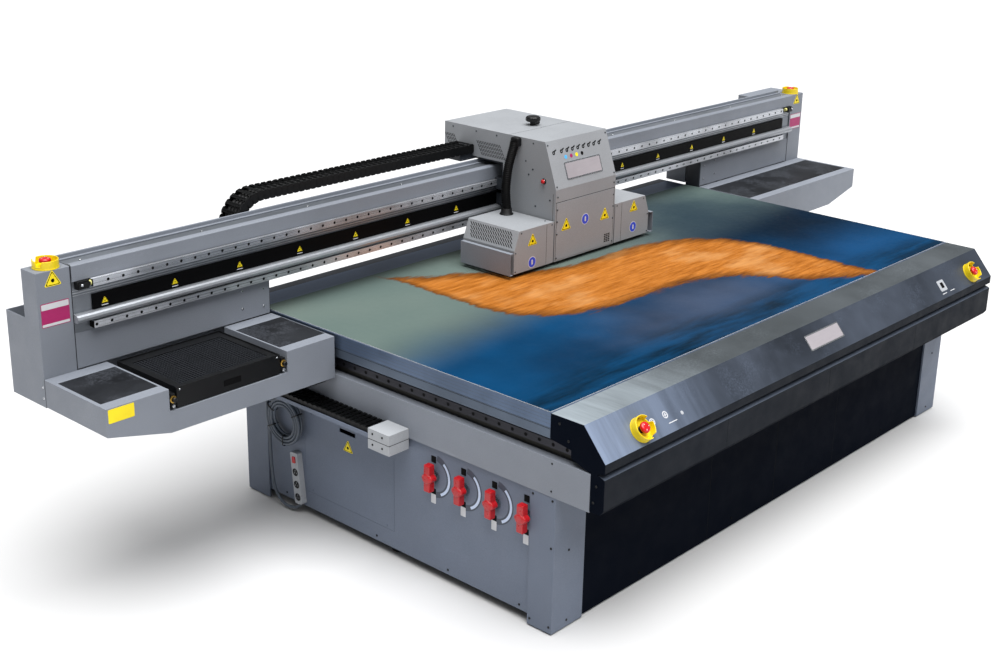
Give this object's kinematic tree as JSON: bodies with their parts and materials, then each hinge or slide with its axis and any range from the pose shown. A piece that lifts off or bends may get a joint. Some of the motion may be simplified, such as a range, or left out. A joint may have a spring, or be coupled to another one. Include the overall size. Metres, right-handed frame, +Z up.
{
  "type": "flatbed uv printer",
  "caption": "Wide flatbed printer: vacuum bed on a panelled base, travelling gantry with side platforms, and a print carriage with lamp boxes.",
  "frame": {"origin": "on the floor, at the middle of the machine's length and depth with the gantry at the back and the carriage near the middle", "axes": "+X along the gantry from the left platform to the right one, +Y from the console to the back, +Z up"},
  "size_m": [4.77, 1.92, 1.3834],
  "materials": {
    "frame_steel": "satin grey enamel on welded tube",
    "feet_steel": "blackened steel",
    "panel_grey": "fine-textured grey powder coat",
    "cover_grey": "fine-textured light grey powder coat",
    "front_navy": "fine-textured navy black powder coat",
    "bed_aluminium": "brushed and anodised",
    "edge_aluminium": "satin anodised",
    "printed_sheet": "printed board, semi-gloss",
    "blower_metal": "cast, satin",
    "cabinet_metal": "light grey enamel",
    "rail_steel": "ground steel",
    "magnet_film": "black protective film",
    "y_magnet_film": "olive brown protective film",
    "console_steel": "mottled galvanised sheet",
    "console_dark": "fine-textured slate powder coat",
    "guard_yellow": "yellow moulded plastic",
    "button_red": "red moulded plastic",
    "valve_red": "red moulded plastic",
    "strip_white": "white moulded plastic",
    "cable_grey": "grey cable sheath",
    "chain_black": "black moulded links",
    "tray_metal": "light grey enamel",
    "beam_aluminium": "satin anodised extrusion",
    "dark_steel": "scratched black-oxide steel",
    "truck_steel": "dark grey enamel",
    "bumper_rubber": "black rubber",
    "tray_black": "satin black powder coat",
    "honeycomb_black": "black moulded grid",
    "lamp_grey": "fine-textured grey powder coat",
    "lamp_module": "black anodised",
    "head_module": "grey anodised",
    "tank_plastic": "milky moulded plastic",
    "hose_black": "black corrugated hose",
    "knob_black": "black moulded plastic"
  },
  "bodies": {
    "base": {"base_frame": "frame_steel", "levelling_feet": "feet_steel", "leg_covers": "panel_grey", "side_panels": "panel_grey", "access_cover": "panel_grey", "front_panels": "front_navy", "side_covers": "panel_grey", "bed_table": "bed_aluminium", "bed_edge_profiles": "edge_aluminium", "printed_board": "printed_sheet", "vacuum_system": "blower_metal", "control_cabinet": "cabinet_metal", "y_rails": "rail_steel", "y_magnet_tracks": "y_magnet_film", "console_shell": "console_steel", "console_end_plates": "front_navy", "console_grip_rail": "console_dark", "console_stop_guards": "guard_yellow", "power_strip": "strip_white", "cable_coil": "cable_grey", "cable_drop": "cable_grey", "y_chain_tray": "tray_metal", "y_chain_lower_run": "chain_black"},
    "valve_1": {"valve_handle_1": "valve_red"},
    "valve_2": {"valve_handle_2": "valve_red"},
    "valve_3": {"valve_handle_3": "valve_red"},
    "valve_4": {"valve_handle_4": "valve_red"},
    "console_button_left": {"console_stop_left": "button_red"},
    "console_button_right": {"console_stop_right": "button_red"},
    "gantry": {"gantry_beam": "beam_aluminium", "gantry_covers": "panel_grey", "end_towers": "panel_grey", "chain_trough": "truck_steel", "platforms": "panel_grey", "platform_inserts": "dark_steel", "gantry_trucks": "truck_steel", "x_rails": "rail_steel", "x_magnet_track": "magnet_film", "rail_bumpers": "bumper_rubber", "tower_stop_guards": "guard_yellow", "y_chain_upper_run": "chain_black", "x_chain_lower_run": "chain_black"},
    "tower_button_left": {"tower_stop_left": "button_red"},
    "tower_button_right": {"tower_stop_right": "button_red"},
    "tray": {"waste_tray": "tray_black", "tray_honeycomb": "honeycomb_black"},
    "y_chain_loop": {"y_chain_bend": "chain_black"},
    "carriage": {"x_slider": "truck_steel", "x_chain_upper_run": "chain_black"},
    "x_chain_loop": {"x_chain_bend": "chain_black"},
    "head": {"head_cover": "cover_grey", "lamp_boxes": "lamp_grey", "uv_lamps": "lamp_module", "print_heads": "head_module", "ink_tanks": "tank_plastic", "lamp_hose": "hose_black"},
    "bumper_left": {"lamp_bumper_left": "lamp_grey"},
    "bumper_right": {"lamp_bumper_right": "lamp_grey"},
    "knob": {"cover_knob": "knob_black"},
    "head_button": {"carriage_button": "button_red"}
  },
  "joints": [
    {"name": "gantry_travel", "type": "slide", "parent": "base", "child": "gantry", "axis": [0, -1, 0], "range_m": [0, 1.05], "deforming": ["y_chain_lower_run", "y_chain_upper_run"]},
    {"name": "carriage_travel", "type": "slide", "parent": "gantry", "child": "carriage", "axis": [1, 0, 0], "range_m": [-1.75, 1.85], "deforming": ["x_chain_lower_run", "x_chain_upper_run"]},
    {"name": "head_lift", "type": "slide", "parent": "carriage", "child": "head", "axis": [0, 0, 1], "range_m": [0, 0.1]},
    {"name": "x_chain_roll", "type": "slide", "parent": "carriage", "child": "x_chain_loop", "axis": [1, 0, 0], "range_m": [-0.925, 0.875]},
    {"name": "y_chain_roll", "type": "slide", "parent": "gantry", "child": "y_chain_loop", "axis": [0, -1, 0], "range_m": [-0.525, 0]},
    {"name": "waste_tray_slide", "type": "slide", "parent": "gantry", "child": "tray", "axis": [0, -1, 0], "range_m": [0, 0.3]},
    {"name": "valve_1_turn", "type": "hinge", "parent": "base", "child": "valve_1", "pos_m": [-1.42, -0.626, 0.409], "axis": [1, 0, 0], "range_deg": [0, 90]},
    {"name": "valve_2_turn", "type": "hinge", "parent": "base", "child": "valve_2", "pos_m": [-1.42, -0.479, 0.409], "axis": [1, 0, 0], "range_deg": [0, 90]},
    {"name": "valve_3_turn", "type": "hinge", "parent": "base", "child": "valve_3", "pos_m": [-1.42, -0.332, 0.409], "axis": [1, 0, 0], "range_deg": [0, 90]},
    {"name": "valve_4_turn", "type": "hinge", "parent": "base", "child": "valve_4", "pos_m": [-1.42, -0.185, 0.409], "axis": [1, 0, 0], "range_deg": [0, 90]},
    {"name": "console_stop_left_press", "type": "slide", "parent": "base", "child": "console_button_left", "axis": [0, 0.7607, -0.6491], "range_m": [0, 0.004], "stiffness_N_per_m": 1500},
    {"name": "console_stop_right_press", "type": "slide", "parent": "base", "child": "console_button_right", "axis": [0, 0.7607, -0.6491], "range_m": [0, 0.004], "stiffness_N_per_m": 1500},
    {"name": "tower_stop_left_press", "type": "slide", "parent": "gantry", "child": "tower_button_left", "axis": [0, 0, -1], "range_m": [0, 0.004], "stiffness_N_per_m": 1500, "springref_m": -0.0005},
    {"name": "tower_stop_right_press", "type": "slide", "parent": "gantry", "child": "tower_button_right", "axis": [0, 0, -1], "range_m": [0, 0.004], "stiffness_N_per_m": 1500, "springref_m": -0.0005},
    {"name": "bumper_left_push", "type": "slide", "parent": "head", "child": "bumper_left", "axis": [1, 0, 0], "range_m": [0, 0.008], "stiffness_N_per_m": 2500},
    {"name": "bumper_right_push", "type": "slide", "parent": "head", "child": "bumper_right", "axis": [-1, 0, 0], "range_m": [0, 0.008], "stiffness_N_per_m": 2500},
    {"name": "knob_turn", "type": "hinge", "parent": "head", "child": "knob", "pos_m": [0.03, 0.627, 1.36], "axis": [0, 0, 1], "range_deg": [0, 90]},
    {"name": "head_button_press", "type": "slide", "parent": "head", "child": "head_button", "axis": [1, 0, 0], "range_m": [0, 0.003], "stiffness_N_per_m": 800}
  ],
  "couplings": [
    {"joint": "x_chain_roll", "follows": "carriage_travel", "ratio": -0.5},
    {"joint": "y_chain_roll", "follows": "gantry_travel", "ratio": -0.5}
  ]
}
